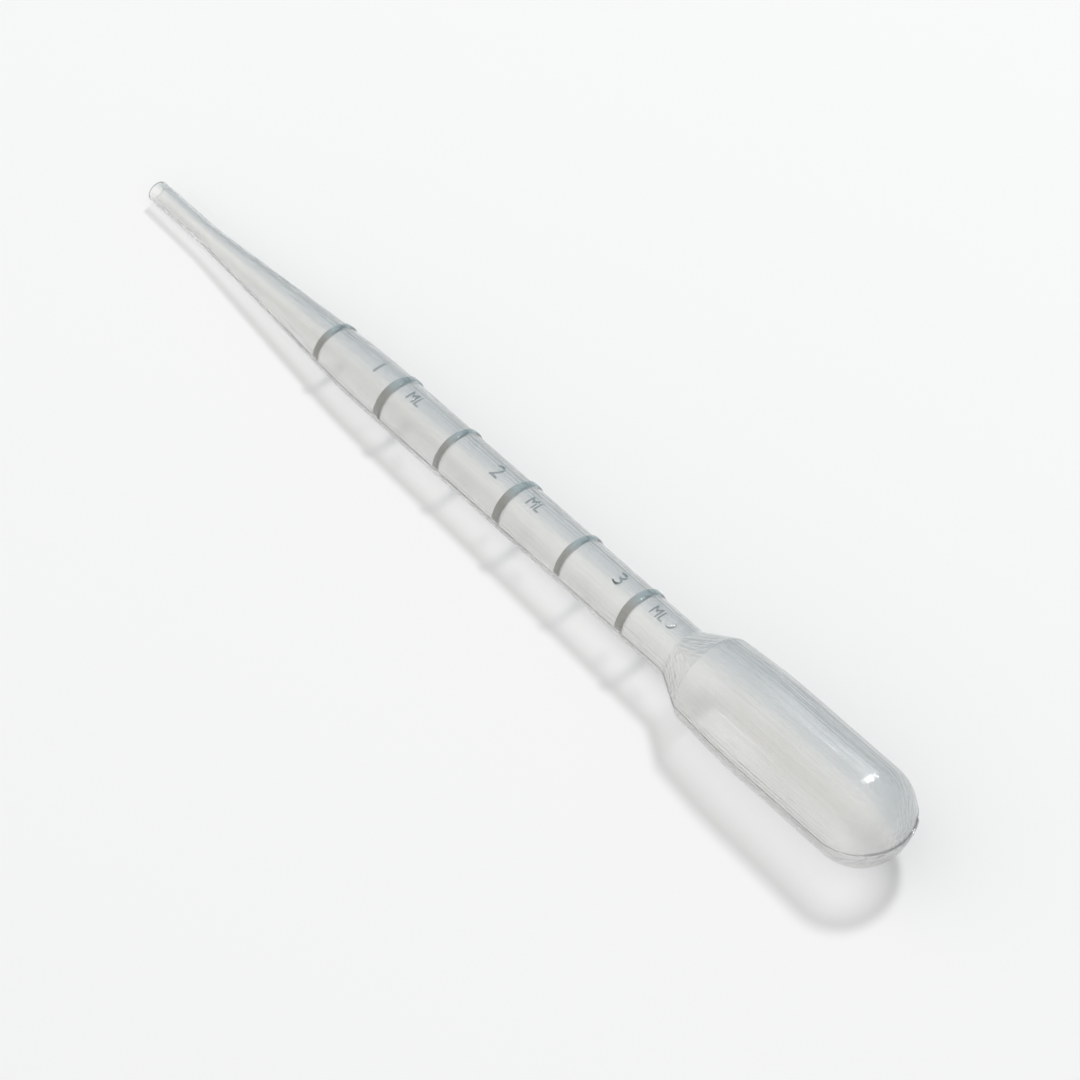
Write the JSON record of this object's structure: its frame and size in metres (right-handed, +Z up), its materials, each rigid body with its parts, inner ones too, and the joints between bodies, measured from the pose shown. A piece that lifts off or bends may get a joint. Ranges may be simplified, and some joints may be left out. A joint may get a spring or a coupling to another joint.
{
  "type": "plastic dropper pipette",
  "caption": "Hollow one-piece dropper pipette with a drawn open tip, a long cone, a round stem with raised scale bars and a squeeze bulb with a round end.",
  "frame": {"origin": "middle of the bounding box in X and Y, on the surface that the pipette lies on", "axes": "+X along the pipette's length, from the tip towards the bulb; +Z up, with the scale on top; the axis climbs 2.44 degrees towards the bulb"},
  "size_m": [0.1552, 0.015, 0.0156],
  "materials": {
    "polyethylene": "milky clear natural low-density polyethylene, smooth with a soft gloss"
  },
  "bodies": {
    "root": {"pipette": "polyethylene"}
  },
  "joints": []
}
